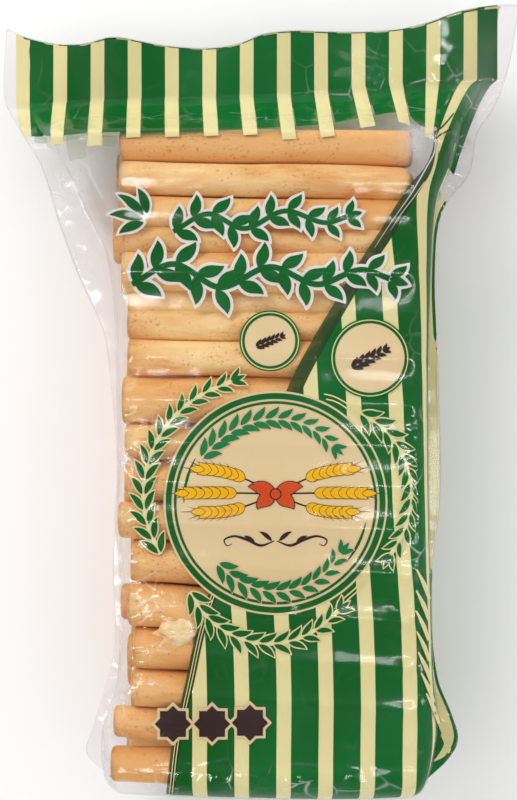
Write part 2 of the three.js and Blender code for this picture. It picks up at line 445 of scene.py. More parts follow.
def film_material(name):
    """Clear film that mirrors more when seen aslant, with facets where it is crumpled and painted glints
    along its creases there.
    """
    n = Nodes(name)
    crumpled = n.attribute("crumpled")
    warped = n.warped(46, 0.014, 0.0)
    facets = [n.add("ShaderNodeTexVoronoi", Scale=scale) for scale in (62.0, 170.0)]
    edges = n.add("ShaderNodeTexVoronoi", Scale=96.0, feature="DISTANCE_TO_EDGE")
    for node in (*facets, edges):
        n.join(warped, node.inputs["Vector"])
    facet = n.maths("ADD", facets[0].outputs["Distance"], n.times(facets[1].outputs["Distance"], 0.4))
    cloud = n.noise(70, 1)
    height = n.maths("ADD", n.times(facet, crumpled), n.times(cloud, 0.1))
    crumple = n.bump(height, 1.0, 0.0032)

    clear = n.add("ShaderNodeBsdfTransparent", Color=(0.956, 0.95, 0.956, 1))
    gloss = n.surface((0.96, 0.96, 0.98, 1), 0.11, metallic=1.0)
    # This haze is both the milky haze of folded film and the white of the painted crease glints
    haze = n.surface((0.86, 0.84, 0.85, 1), 0.5)
    mirror = n.add("ShaderNodeFresnel", IOR=1.5)
    for node in (gloss, mirror):
        n.join(crumple, node.inputs["Normal"])
    share = n.maths("MINIMUM", n.times(mirror.outputs[0], 0.3), 0.2)

    # Creases are painted white as glints where the film is crumpled, in broken stretches
    broken = n.ramp(cloud, [(0.5, BLACK), (0.6, WHITE)])
    crease_glint_mask = n.ramp(edges.outputs["Distance"], [(0.0, WHITE), (0.04, BLACK)])
    # The painted glint lines along the creases
    line = n.times(n.times(crease_glint_mask, broken), n.times(crumpled, 0.5))
    haze_and_painted_glint = n.maths("ADD", n.times(n.attribute("milky"), cloud), line)
    haze_and_painted_glint = n.maths("ADD", haze_and_painted_glint, 0.002, clamp=True)
    return n.finished(n.mixed(share, n.mixed(haze_and_painted_glint, clear, haze), gloss))


# The bread's light, middle and dark tones and its specks, on the screen's 0 to 255
BREAD = bread_material("breadstick", (252, 222, 160), (246, 203, 136), (231, 168, 94), (148, 94, 54))
CRUMB = bread_material("bread_crumb", (252, 234, 186), (244, 218, 164), (232, 192, 128), (204, 150, 88))
FILM = film_material("clear_film")


# The breadsticks: a row is a stick that shows at the face, and the rest fill the bag behind in layers
STICK_COUNT_BEHIND = 62
LAYERS_BEHIND = 4
PACKING_STEPS = 500
PACKING_RATE, PACKING_SINK = 0.4, 0.02
CLOSEST = 0.97  # how near two sticks come, for the sum of their radii
HIDDEN_TOP = 52
CLEARANCE = 0.75
END_ROUND = 1.7
CRUMB_AT, CRUMB_SIZE = (-26.5, -80, 55.2), (8, 5.6, 4.2)
# Left ends of the rows from the bottom one up, how far each turns clockwise in degrees, and how dark and
# brown its tone is; the top row's dark tone is painted shade from the header above it
LEFT_ENDS = [-51.2, -50.2, -44.2, -43.5, -45.3, -44.2, -48.6, -46.3, -46.3, -47.3, -45.3, -45.6, -45.6,
             -47.4, -47.4, -46.6, -48.2, -48.2]
TURNS = [4, 4, 4, 3.5, 3, 2.5, 2, 1.5, 1, 1, 0.5, 0.5, 0.3, 0.3, 0.8, 1, 1.2, 0.8]
ROW_TONES_AND_SHADE = [1.1, 0.8, 0.9, 0.7, 0.65, 0.6, 0.6, 0.6, 0.55, 0.55, 0.15, 0.15, 0.3, 0.6, 0.6, 0.6, 0.35, 1.1]
RIGHT_END = 53.2
PIVOT_X = -35  # the rows' places were taken near their left ends


def front_rows():
    """The sticks that show at the face. A thin row is part of a stick that has sunk in a little."""
    rows = []
    y = STACK_BOTTOM
    for i, height in enumerate(ROWS):
        centre = y + height / 2
        y += height
        radius = max(height / 2, 4.6 + 0.12 * height)
        sunk = 0.45 * max(0, 13 - height)
        rows.append(dict(y=centre, r=radius, z=FACE_HEIGHT - CLEARANCE - radius - sunk, left=LEFT_ENDS[i],
                         right=RIGHT_END + rng.uniform(-1, 0.6), turn=TURNS[i], tone=ROW_TONES_AND_SHADE[i],
                         front=True))

    # The outer two lie deeper, under the seam and the shoulder, and one has a round right end
    rows[0].update(y=STACK_BOTTOM + 1.1, r=6.5, z=FACE_HEIGHT - CLEARANCE - 7.6, turn=1.6)
    rows[-1].update(y=rows[-1]["y"] + 1.2, r=6.4, z=FACE_HEIGHT - CLEARANCE - 8)
    rows[-2].update(round=4.6)
    return rows


def hidden_sticks():
    """The sticks behind, in staggered layers. The upper ones were pushed in further at the left."""
    behind = []
    for k in range(STICK_COUNT_BEHIND):
        at, layer = divmod(k, LAYERS_BEHIND)
        count = math.ceil((STICK_COUNT_BEHIND - layer) / LAYERS_BEHIND)
        y = mix(STACK_BOTTOM + 5, STACK_TOP - 6, (at + 0.25 + 0.5 * (layer % 2)) / count)
        further = 4.5 * ease(y, 45, 60)
        behind.append(dict(y=y, z=mix(7, 42, layer / (LAYERS_BEHIND - 1)), r=rng.uniform(5.9, 6.75),
                           front=False, turn=rng.uniform(-1, 2.5), tone=rng.uniform(0.4, 1),
                           left=rng.uniform(-49.5, -45) - further, right=RIGHT_END + rng.uniform(-3, 0.8)))
    return behind


def packed_sticks():
    """All sticks, as circles that push each other apart in the bag's long section."""
    sticks = front_rows() + hidden_sticks()
    place = np.array([[s["y"], s["z"]] for s in sticks])
    radius = np.array([s["r"] for s in sticks])
    free = np.array([not s["front"] for s in sticks])
    touch = (radius[:, None] + radius[None, :]) * CLOSEST
    low = np.stack([STACK_BOTTOM - 3 + radius, radius + 0.6], axis=1)
    high = np.stack([STACK_TOP + 1 - radius, np.full(len(sticks), HIDDEN_TOP)], axis=1)
    for _ in range(PACKING_STEPS):
        apart = place[:, None] - place[None, :]
        distance = np.linalg.norm(apart, axis=2) + np.eye(len(sticks)) * 99
        push = np.clip(touch - distance, 0, None) / distance
        move = (apart * push[:, :, None]).sum(1) * PACKING_RATE
        move[:, 1] -= PACKING_SINK
        place[free] = np.clip(place + move, low, high)[free]
    for stick, (y, z) in zip(sticks, place):
        stick["y"], stick["z"] = y, z
    return sticks


def stick_line(stick, x):
    """Where the middle of a stick is in plan at some x."""
    return stick["y"] - np.tan(math.radians(stick["turn"])) * (x - PIVOT_X)


def stick_tops(sticks, x, y):
    """Height of the highest stick or crumb over each point of the plan, and far down where there is none."""
    flat = ((x - CRUMB_AT[0]) / CRUMB_SIZE[0]) ** 2 + ((y - CRUMB_AT[1]) / CRUMB_SIZE[1]) ** 2
    top = np.where(flat < 1, CRUMB_AT[2] + CRUMB_SIZE[2] * np.sqrt(np.clip(1 - flat, 0, 1)), -99.0)
    for s in sticks:
        across = np.abs(y - stick_line(s, x)) * math.cos(math.radians(s["turn"]))
        from_end = np.minimum(x - s["left"], s["right"] - x)
        short = np.clip(END_ROUND - from_end, 0, END_ROUND)
        sunk = END_ROUND - np.sqrt(np.clip(END_ROUND**2 - short**2, 0, None))
        inside = (from_end > 0) & (across < s["r"])
        height = s["z"] + np.sqrt(np.clip(s["r"] ** 2 - across**2, 0, None)) - sunk
        top = np.where(inside, np.maximum(top, height), top)
    return top


def end_profile(r, rounding):
    """A stick's end from its middle to its full radius: (distance from the end, share of the radius)."""
    turn = np.linspace(0.25, 1, 5) * math.pi / 2
    rim = [(0.2 + rounding * (1 - math.cos(a)), (r - rounding + rounding * math.sin(a)) / r) for a in turn]
    return [(0.0, 0.0), (0.05, 0.45 * rim[0][1]), *rim]


# A stick's unevenness: waves round it, as how many there are and how high each is for its radius
WAVES = [(1, 0.012), (2, 0.03), (3, 0.016), (4, 0.012), (2, 0.02), (5, 0.007), (1, 0.02), (3, 0.012)]
LONG_WAVE = 0.018
MOST_UNEVEN = 0.3
FRONT_THINNER = 0.25
FRONT_CELLS, HIDDEN_CELLS = (36, 40), (20, 14)  # round a stick and along it
RIM_AT, RIM_REACH = 0.8, 1.1  # where a cut end is most toasted, and over how much


def stick_rings(stick, around, along):
    """One stick as rings of points with its two flat ends, and the toast of each ring."""
    local = np.random.default_rng(int(abs(stick["y"] * 97) + stick["z"] * 13))
    r, left, right = stick["r"], stick["left"], stick["right"]
    first = [(left + d, share) for d, share in end_profile(r, END_ROUND)]
    last = [(right - d, share) for d, share in reversed(end_profile(r, stick.get("round", END_ROUND)))]
    inner = [(x, 1.0) for x in np.linspace(first[-1][0], last[0][0], along + 1)[1:-1]]
    rings = first + inner + last
    angle = np.linspace(0, 2 * math.pi, around, endpoint=False)
    waves = [(k, local.uniform(0, 6.28), local.uniform(0.02, 0.14), a * r) for k, a in WAVES]
    bend = local.uniform(-0.7, 0.7)
    roll = local.uniform(-0.4, 0.4)
    points, toast = [], []
    for x, share in rings:
        uneven = sum(a * np.sin(k * angle + phase + rate * x) for k, phase, rate, a in waves)
        uneven += LONG_WAVE * r * math.sin(0.11 * x + waves[0][1])
        uneven = MOST_UNEVEN * np.tanh(uneven / MOST_UNEVEN)
        radius = np.clip(r + uneven - FRONT_THINNER * stick["front"], 0.1, None) * share
        along_share = (x - left) / (right - left)
        arch = bend * (1 - (2 * along_share - 1) ** 2)
        y = stick_line(stick, x) + arch + radius * np.cos(angle)
        z = stick["z"] - abs(roll) * 0.3 + radius * np.sin(angle)
        points.append(np.stack([np.full(around, x), y, z], axis=1))
        near = min(x - left, right - x)
        toasted = math.exp(-((near - RIM_AT) / RIM_REACH) ** 2) if share > 0.5 else 0.25
        toast.append(np.full(around, toasted))
    return np.array(points), np.array(toast)


def ring_faces(first, rings, around):
    faces = []
    for i in range(rings - 1):
        for j in range(around):
            k = (j + 1) % around
            a, b = first + i * around, first + (i + 1) * around
            faces.append((a + j, a + k, b + k, b + j))
    return faces


def build_sticks(sticks):
    points, faces, toast, tone = [], [], [], []
    count = 0
    for stick in sticks:
        around, along = FRONT_CELLS if stick["front"] else HIDDEN_CELLS
        rings, brown = stick_rings(stick, around, along)
        points.append(rings.reshape(-1, 3))
        toast.append(brown.ravel())
        tone.append(np.full(brown.size, stick["tone"]))
        faces += ring_faces(count, len(rings), around)
        count += brown.size
    thing = new_object("breadsticks", np.concatenate(points), faces, BREAD)
    set_attribute(thing, "toasted", np.concatenate(toast))
    # Each stick's tone, with painted shade in the top row's
    set_attribute(thing, "tone_and_shade", np.concatenate(tone))
    merge_close(thing)
    return thing


sticks = packed_sticks()
breadsticks = build_sticks(sticks)


# The film settles on the sticks, then wrinkles where it has length to spare
SAG = 0.009
SETTLE_STEPS = 600


def settled(front):
    """Draws the face down between the sticks, as a stretched film that rests on their crowns."""
    tops = stick_tops(sticks, front[:, :, 0], front[:, :, 1]) + CLEARANCE
    column = np.arange(COLUMNS + 1)
    inner = ease(np.minimum(column, COLUMNS - column), FIN + 4, FIN + WALL)
    line = np.arange(len(LINES))
    header_line = len(LINES) - CELLS["header"]
    lengthwise = ease(line, 2, CELLS["seam"]) * ease(-line, 4 - header_line, CELLS["shoulder"] - header_line)
    weight = inner[None, :] * lengthwise[:, None]
    least = tops - front[:, :, 2]
    moved = np.zeros_like(least)
    for _ in range(SETTLE_STEPS):
        beside = [np.roll(moved, step, axis) for axis in (0, 1) for step in (1, -1)]
        moved = np.maximum(sum(beside) / 4 - SAG * weight, least)
        moved *= weight > 0
    result = front.copy()
    result[:, :, 2] += moved
    return result


def grid_normals(grid):
    """Unit normals of a grid of points, to the left of its columns' way."""
    down = np.gradient(grid, axis=0)
    across = np.gradient(grid, axis=1)
    normal = np.cross(across, down)
    return normal / np.maximum(np.linalg.norm(normal, axis=2, keepdims=True), 1e-9)


WRINKLE_STEPS = 220
SPARE = 0.011  # the film's spare length
# Threads between points of the film: how many cells down and across, and how firm
THREADS = [(0, 1, 1.0), (1, 0, 1.0), (1, 1, 0.6), (1, -1, 0.6), (0, 3, 0.5), (3, 0, 0.5)]
# How far the film may move in and out: over the sticks, and where it is free
INWARD, OUTWARD = (0.12, 0.5), (0.5, 1.6)


def wrinkled(front, back):
    """Lets the film buckle: its threads are a little longer than the smooth shape allows."""
    start = np.stack([front, back])
    normal = np.stack([grid_normals(front), -grid_normals(back)])
    shape = start.shape[1:3]
    patches = np.stack([smooth_noise(shape, 14, 20 + side) for side in (0, 1)])
    spare = np.clip(SPARE * (1 + 0.9 * patches), 0, None)
    points = start.copy()
    for cells, height in ((5, 0.12), (11, 0.2)):
        for side in (0, 1):
            push = smooth_noise(shape, cells, 40 + side + cells) * height
            points[side] += normal[side] * push[:, :, None]
    rests = []
    for down, across, _ in THREADS:
        a, b = pair(start, down, across)
        sa, sb = pair(spare[..., None], down, across)
        rests.append(np.linalg.norm(a - b, axis=3) * (1 + (sa + sb)[..., 0] / 2))

    on_face = (np.abs(normal[..., 2]) > 0.8) & (start[..., 1] < STACK_TOP)
    inward = np.where(on_face, *INWARD)
    outward = np.where(on_face, *OUTWARD)
    for _ in range(WRINKLE_STEPS):
        total = np.zeros_like(points)
        count = np.full(points.shape[:3] + (1,), 1e-9)
        for (down, across, firm), rest in zip(THREADS, rests):
            a, b = pair(points, down, across)
            gap = a - b
            length = np.linalg.norm(gap, axis=3)
            fix = gap * ((length - rest) / np.maximum(length, 1e-6) * firm / 2)[..., None]
            ta, tb = pair(total, down, across)
            ca, cb = pair(count, down, across)
            ta -= fix
            tb += fix
            ca += firm
            cb += firm
        points += 1.6 * total / count
        moved = (points - start) * 0.985
        out = (moved * normal).sum(3)
        held = np.clip(out, -inward, outward)
        points = start + moved + normal * (held - out)[..., None]
        points[..., 2] = np.maximum(points[..., 2], 0.05)
        shared_border(points)
    return points[0], points[1]


def pair(grid, down, across):
    """Two views of a stack of grids, of points that are down and across cells apart."""
    lines, columns = grid.shape[1:3]
    if across >= 0:
        return grid[:, :lines - down, :columns - across], grid[:, down:, across:]
    return grid[:, :lines - down, -across:], grid[:, down:, :columns + across]


def shared_border(points):
    for part in (np.s_[:, 0], np.s_[:, -1], np.s_[:, :, 0], np.s_[:, :, -1]):
        points[part] = points[part].mean(0)


smooth_front = settled(base_front)
front, back = wrinkled(smooth_front, base_back)

# Where the film is crumpled, and where its folds make it milky: (x, y), reach in x and y, and how much
CRUMPLED = [((55, -38), (5, 44), 0.8), ((73, 86), (12, 20), 1.0), ((-41, -86), (10, 26), 0.95),
            ((-46, -20), (5, 30), 0.8), ((0, 101), (88, 5), 0.6), ((55, 112), (32, 14), 0.8),
            ((0, -132), (62, 5), 0.8), ((-76, 58), (14, 50), 0.5), ((66, -98), (9, 32), 1.0),
            ((-58, -110), (9, 24), 0.7)]
MILKY = [((-64, 76), (12, 12), 0.5), ((54, 88), (5, 7), 0.55), ((-60, 30), (5, 60), 0.18),
         ((84, 100), (9, 26), 0.35)]


def zoned(points, zones, least):
    value = np.full(len(points), least)
    for (x, y), (reach_x, reach_y), amount in zones:
        apart = ((points[:, 0] - x) / reach_x) ** 2 + ((points[:, 1] - y) / reach_y) ** 2
        value = np.maximum(value, amount * np.exp(-apart))
    return value


def grid_quads(lines, columns):
    """The four-sided faces of a grid of points that are numbered line by line."""
    index = np.arange(lines * columns).reshape(lines, columns)
    return np.stack([index[:-1, :-1], index[:-1, 1:], index[1:, 1:], index[1:, :-1]], axis=2).reshape(-1, 4)


def build_film():
    """The film is one closed skin: the face's grid and the back's, joined at their common border."""
    points = np.concatenate([front.reshape(-1, 3), back.reshape(-1, 3)])
    face = grid_quads(*front.shape[:2])
    faces = np.stack([face, face[:, [0, 3, 2, 1]] + len(points) // 2], axis=1).reshape(-1, 4)
    thing = new_object("film", points, faces.tolist(), FILM)
    set_attribute(thing, "crumpled", zoned(points, CRUMPLED, 0.03))
    set_attribute(thing, "milky", zoned(points, MILKY, 0.0))
    merge_close(thing)
    return thing


film = build_film()


# Print. A place on the face is given as the eye sees it on the print's plane, and a place round the
# side or on the back by its distance round the bag and its y
UNDER_FILM = 0.1
LAYER = 0.07  # each ink lies this much deeper than the one printed before it


class Ink:
    """The patches of one ink, gathered into one mesh. Its two colours are on the screen's 0 to 255."""

    def __init__(self, name, material, slot, colour, second, cover=1):
        self.name, self.slot = name, slot
        self.material = ink_material(material, colour, second, cover)
        self.points, self.faces = [], []
        self.count = 0

    def lay(self, places, normals, found, layer):
        """Adds a grid of places that the bag has, pressed in under the film."""
        deep = np.broadcast_to(UNDER_FILM + LAYER * np.asarray(layer), found.shape)[..., None]
        self.points.append((places - normals * deep).reshape(-1, 3))
        whole = found[:-1, :-1] & found[1:, :-1] & found[1:, 1:] & found[:-1, 1:]
        self.faces.append(grid_quads(*found.shape)[whole.ravel()] + self.count)
        self.count += found.size

    def build(self):
        faces = np.concatenate(self.faces).tolist()
        thing = new_object(self.name, np.concatenate(self.points), faces, self.material)
        merge_close(thing, 8e-6)
        return thing


# The green's lighter and darker colours make a mottle that is partly painted sheen
green = Ink("print_green", "green_ink", "green_ink", (10, 108, 44), (0, 90, 22))
light_green = Ink("print_light_green", "light_green_ink", "green_ink", (34, 134, 74), (22, 116, 56))
dark_green = Ink("print_dark_green", "dark_green_ink", "green_ink", (44, 76, 34), (34, 66, 26), 0.86)
ghost = Ink("print_ghost_green", "ghost_green_ink", "green_ink", (96, 132, 66), (120, 146, 84), 0.32)
cream = Ink("print_cream", "cream_ink", "cream_ink", (236, 227, 168), (230, 219, 158))
solid_cream = Ink("print_cream_fields", "solid_cream_ink", "cream_ink", (234, 211, 165), (229, 204, 156))
pale = Ink("print_pale", "pale_ink", "cream_ink", (238, 230, 224), (232, 224, 218))
brown = Ink("print_brown", "brown_ink", "green_ink", (62, 44, 40), (54, 36, 32))
gold = Ink("print_gold", "gold_ink", "cream_ink", (250, 196, 20), (242, 180, 16))
red = Ink("print_red", "red_ink", "cream_ink", (226, 88, 30), (212, 74, 24))
INKS = (green, light_green, dark_green, ghost, cream, solid_cream, pale, brown, gold, red)

TREE = BVHTree.FromPolygons(front.reshape(-1, 3).tolist(), grid_quads(*front.shape[:2]).tolist())


def seen(xs, ys):
    """The places on the face that the eye sees at these points of the print's plane."""
    places = np.zeros(xs.shape + (3,))
    normals = np.zeros(xs.shape + (3,))
    found = np.zeros(xs.shape, bool)
    start = Vector(EYE)
    for at in np.ndindex(xs.shape):
        way = Vector((xs[at] - EYE[0], ys[at] - EYE[1], PRINT_PLANE - EYE[2]))
        place, normal, _, _ = TREE.ray_cast(start, way.normalized())
        if place is None:
            continue
        places[at] = place
        normals[at] = normal if normal.z > 0 else -normal
        found[at] = True
    return places, normals, found


def round_grid(face, rear):
    return np.concatenate([face, rear[:, -2::-1]], axis=1)


AROUND = round_grid(front, back)
AROUND_NORMALS = round_grid(grid_normals(front), -grid_normals(back))
SMOOTH_AROUND = round_grid(smooth_front, base_back)


def distance_round():
    """How far round the bag each point of each line is, from x = 0 on its face."""
    steps = np.linalg.norm(np.diff(SMOOTH_AROUND, axis=1), axis=2)
    total = np.concatenate([np.zeros((len(steps), 1)), np.cumsum(steps, axis=1)], axis=1)
    middle = COLUMNS // 2
    return total - total[:, middle:middle + 1] + SMOOTH_AROUND[:, middle:middle + 1, 0]


DISTANCE = distance_round()


def around(distance, y):
    """The places on the film at a distance round the bag, and at a y along the straight bag."""
    row = np.interp(np.broadcast_to(y, distance.shape), LINE_Y, np.arange(len(LINE_Y)))
    below = np.minimum(row.astype(int), len(LINE_Y) - 2)
    share = (row - below)[..., None]
    places = np.zeros(distance.shape + (3,))
    normals = np.zeros(distance.shape + (3,))
    for r in np.unique(below):
        here = below == r
        both = []
        for line in (r, r + 1):
            column = np.interp(distance[here], DISTANCE[line], np.arange(DISTANCE.shape[1]))
            left = np.minimum(column.astype(int), DISTANCE.shape[1] - 2)
            part = (column - left)[:, None]
            both.append((mix(AROUND[line, left], AROUND[line, left + 1], part),
                         mix(AROUND_NORMALS[line, left], AROUND_NORMALS[line, left + 1], part)))
        places[here] = mix(both[0][0], both[1][0], share[here])
        normals[here] = mix(both[0][1], both[1][1], share[here])
    normals /= np.maximum(np.linalg.norm(normals, axis=-1, keepdims=True), 1e-9)
    return places, normals, np.ones(distance.shape, bool)


# Plane shapes, each a grid of x and y

STEP = 1.2
LEAF_POINTS, LEAF_LINES = 10, 4
ARC_POINTS = 7


def ring_shape(centre, inner, outer):
    turns = max(8, int(2 * math.pi * outer / STEP))
    rings = max(1, int((outer - inner) / STEP))
    angle = np.radians(np.linspace(0, 360, turns + 1))[:, None]
    radius = np.linspace(inner, outer, rings + 1)[None, :]
    return centre[0] + radius * np.cos(angle), centre[1] + radius * np.sin(angle)


def running(line):
    """How far along a line its points are, and smooth curves of its x and y over that distance."""
    line = np.asarray(line, float)
    run = np.concatenate([[0], np.cumsum(np.linalg.norm(np.diff(line, axis=0), axis=1))])
    return run, [through(list(zip(run, values))) for values in line.T]


def ribbon_shape(line, width, step=1.0):
    """A ribbon along a line of points: width is one number, or one at each point."""
    run, curves = running(line)
    at = np.linspace(0, run[-1], max(3, int(run[-1] / step)))
    x, y = (curve(at) for curve in curves)
    wide = np.interp(at, run, np.broadcast_to(width, len(run)))
    along = np.stack([np.gradient(x), np.gradient(y)], axis=1)
    along /= np.maximum(np.linalg.norm(along, axis=1, keepdims=True), 1e-9)
    layers = max(1, int(np.max(wide) / 1.3))
    offset = np.linspace(-0.5, 0.5, layers + 1)[None, :] * wide[:, None]
    return x[:, None] - along[:, 1:] * offset, y[:, None] + along[:, :1] * offset


def leaf_shape(root, angle, length, width, bend, grow=0.0):
    """A pointed leaf from its root, with its tip bent to one side. grow widens it for an outline."""
    t = np.linspace(0, 1, LEAF_POINTS)
    turn = math.radians(angle) + bend * (1.5 * t**2 - 0.45)
    step = (length + 2.6 * grow) / (LEAF_POINTS - 1)
    x = root[0] - 1.2 * grow * math.cos(turn[0]) + np.concatenate([[0], np.cumsum(np.cos(turn[:-1]) * step)])
    y = root[1] - 1.2 * grow * math.sin(turn[0]) + np.concatenate([[0], np.cumsum(np.sin(turn[:-1]) * step)])
    half = (width / 2 + grow) * np.sin(math.pi * t**0.85) ** 0.9
    across = np.linspace(-1, 1, LEAF_LINES)[None, :] * half[:, None]
    return x[:, None] - np.sin(turn)[:, None] * across, y[:, None] + np.cos(turn)[:, None] * across


STAR_POINTS, STAR_INNER = 8, 0.77


def star_shape(centre, radius):
    """A star of eight points, as rings that shrink to its middle."""
    corners = 2 * STAR_POINTS + 1
    angle = np.linspace(0, 2 * math.pi, corners)
    reach = np.where(np.arange(corners) % 2 == 0, radius, radius * STAR_INNER)
    at = np.linspace(0, corners - 1, 4 * (corners - 1) + 1)
    x = np.interp(at, np.arange(corners), reach * np.cos(angle))[:, None]
    y = np.interp(at, np.arange(corners), reach * np.sin(angle))[:, None]
    share = np.linspace(0, 1, 7)[None, :]
    return centre[0] + x * share, centre[1] + y * share


EDGE_FROM, EDGE_ROOM = 51, 3.6


def kept_on_face(xs, ys):
    """Draws in what would reach over the right edge, so that it isn't stretched down the side."""
    return np.where(xs > EDGE_FROM, EDGE_FROM + EDGE_ROOM * np.tanh((xs - EDGE_FROM) / EDGE_ROOM), xs), ys


def towards(angle):
    """A step of one in a direction given in degrees."""
    return np.array([math.cos(math.radians(angle)), math.sin(math.radians(angle))])


def stamp(ink, shape, layer):
    places, normals, found = seen(*shape)
    ink.lay(places, normals, found, layer)


def edged_leaf(inks, leaf, edge, deeper=2, layer=0):
    """A leaf in the first ink, and deeper a wider one in the second."""
    for ink, grow, level in zip(inks, (0, edge), (layer, layer + deeper)):
        stamp(ink, kept_on_face(*leaf_shape(*leaf, grow=grow)), level)


def sprig(line, leaf, spacing, inks, edge, lean=34, stem=0.5, gap=0.5):
    """A stem along a line with pairs of leaves, (length, width), each with an edge in the second ink."""
    run, curves = running(line)
    stamp(inks[1], ribbon_shape(line, stem + 2 * edge), 2)
    count = max(2, int(run[-1] / spacing))
    for i in range(count + 1):
        at = run[-1] * (i + 0.1) / (count + 0.1)
        root = np.array([curve(at) for curve in curves])
        ahead = [curve(min(at + 0.5, run[-1])) - curve(max(at - 0.5, 0)) for curve in curves]
        heading = math.degrees(math.atan2(ahead[1], ahead[0]))
        size = 1 - 0.3 * (i / count) ** 2
        for side in (-1, 0, 1) if i == count else (-1, 1):
            start = root + side**2 * gap * towards(heading + side * 90)
            shape = (start, heading + side * lean, leaf[0] * size, leaf[1] * size, side * 0.45)
            edged_leaf(inks, shape, edge)


def stamp_rings(centre, rings):
    """Rings about one centre, each as (ink, inner radius, outer radius, layer)."""
    for ink, inner, outer, layer in rings:
        stamp(ink, ring_shape(centre, inner, outer), layer)


def arc_line(centre, radii, start, end):
    """Points on a bowed arc: radii are those of its start, its middle and its end."""
    t = np.linspace(0, 1, ARC_POINTS)
    angle = np.radians(mix(start, end, t))
    radius = mix(mix(radii[0], radii[2], t), radii[1], np.sin(math.pi * t))
    return np.stack([centre[0] + radius * np.cos(angle), centre[1] + radius * np.sin(angle)], axis=1)


# The striped field: stripes that lean a little, round the right side and across the back
STRIPE_PITCH = 14.4
CREAM_WIDTH = 5.0
HALF = CREAM_WIDTH / STRIPE_PITCH / 2
STRIPES = range(-2, 18)
ON_FOLD = 8  # this cream stripe lies on the right fold's fin, and those down the side share out the rest
FIRST_STRIPE = -20.2  # the first cream stripe's middle near the bottom seam
STRIPE_SHIFT = through([(-126, 0), (-102, 0.1), (-82, -0.4), (-68, -1.2), (-55, -2.2), (-34, -3.6),
                        (-14, -4.3), (34, -6.9), (51, -8.3), (72, -10.4)])
FIELD_EDGE = straight([(-141, -31.4), (-130.9, -30.4), (-116.9, -28.7), (-102.3, -25.3), (-95.5, -24),
                       (-78.5, -20.2), (-65, -16), (-35, 0), (3, 14), (14, 18.6), (28.5, 26.8), (48.8, 39),
                       (58.6, 45.8), (66.5, 50.4), (73.4, 55), (78.2, 58), (84.7, 60.3), (91, 61)])
# Where the field ends on the back, round from the face, and near the header on the side
FIELD_END = straight([(-141, 206), (52, 206), (60, 150), (68, 96), (80, 86), (91, 78)])
FIELD_TOP = 91.0


def stripe_middle(k, y):
    """How far round the bag the middle of a stripe is, at each y."""
    plain = FIRST_STRIPE + STRIPE_PITCH * k + STRIPE_SHIFT(y)
    fold = np.interp(y, LINE_Y, DISTANCE[:, COLUMNS])
    on_fold = FIRST_STRIPE + STRIPE_PITCH * ON_FOLD + STRIPE_SHIFT(y)
    along_fold = ease(y, -64, -54) * ease(-y, -24, -12)
    lower = fold - mix(4.9, 5.6, along_fold) - (on_fold - CREAM_WIDTH / 2)
    upper = fold + mix(-1.2, 2.5, along_fold) - (on_fold + CREAM_WIDTH / 2)
    beyond = mix(lower, upper, np.clip((k - ON_FOLD + HALF) / (2 * HALF), 0, 1))
    return plain + beyond * np.clip((k - 5.2) / (2.8 - HALF), 0, 1)


def lay_stripe(ink, first, last):
    """One stripe between two places in the pattern, cut by the field's slanting edge."""
    y = LINE_Y[LINE_Y <= FIELD_TOP]
    left = np.clip(stripe_middle(first, y), FIELD_EDGE(y), FIELD_END(y))
    right = np.clip(stripe_middle(last, y), FIELD_EDGE(y), FIELD_END(y))
    inside = right - left > 1e-6
    if not inside.any():
        return
    y, left, right = y[inside], left[inside], right[inside]
    share = np.linspace(0, 1, 9)[None, :]
    distance = mix(left[:, None], right[:, None], share)
    on_fin = np.abs(distance - np.interp(y, LINE_Y, DISTANCE[:, COLUMNS])[:, None]) / 10
    ink.lay(*around(distance, y[:, None]), 6 * np.clip(on_fin - 0.2, 0, 1))


def print_field():
    for k in STRIPES:
        lay_stripe(cream, k - HALF, k + HALF)
        lay_stripe(green, k + HALF, k + 1 - HALF)


def print_field_edges():
    """The dark band over the field's upper edge and the fine double line down its lower one."""
    band = [(60.4, 91.5), (60, 85), (57.7, 78), (53.9, 72.7), (48.3, 64.3), (44.2, 57.5), (37.5, 47.5),
            (27.6, 31.3), (20.3, 18.8), (14.5, 8), (10, -2)]
    stamp(dark_green, ribbon_shape(band, [0.8, 1.2, 2.8, 4, 4.4, 4.5, 4.6, 4.6, 4.8, 4.8, 4.8]), 5)
    bright = [(60.3, 90), (60.1, 84.2), (57.2, 78.7), (52.6, 70.8), (47.9, 64.1), (43.4, 57.5), (39.5, 51.5)]
    stamp(pale, ribbon_shape(bright, [0.25, 0.45, 0.45, 0.3, 0.2, 0.15, 0.1]), 4.5)
    beside = [(56.7, 73.9), (53.6, 69.6), (48.8, 63.4), (45, 57.5)]
    stamp(pale, ribbon_shape(beside, [0.3, 0.25, 0.2, 0.1]), 4.5)
    for hook in ([(59.8, 91), (62.6, 92.9), (66.5, 97.5)], [(60.4, 88.6), (63, 90.6), (67.5, 93)]):
        stamp(dark_green, ribbon_shape(hook, 0.6), 3.6)
    border = [(-14, -62), (-19.4, -78.5), (-23.2, -95.5), (-25.3, -105), (-27.9, -116.9), (-29.6, -130.9),
              (-30.4, -138)]
    stamp(dark_green, ribbon_shape(border, 2.9), 5)
    for shift in (-0.35, 0.6):
        stamp(cream, ribbon_shape([(x + shift, y) for x, y in border], 0.3), 4.5)


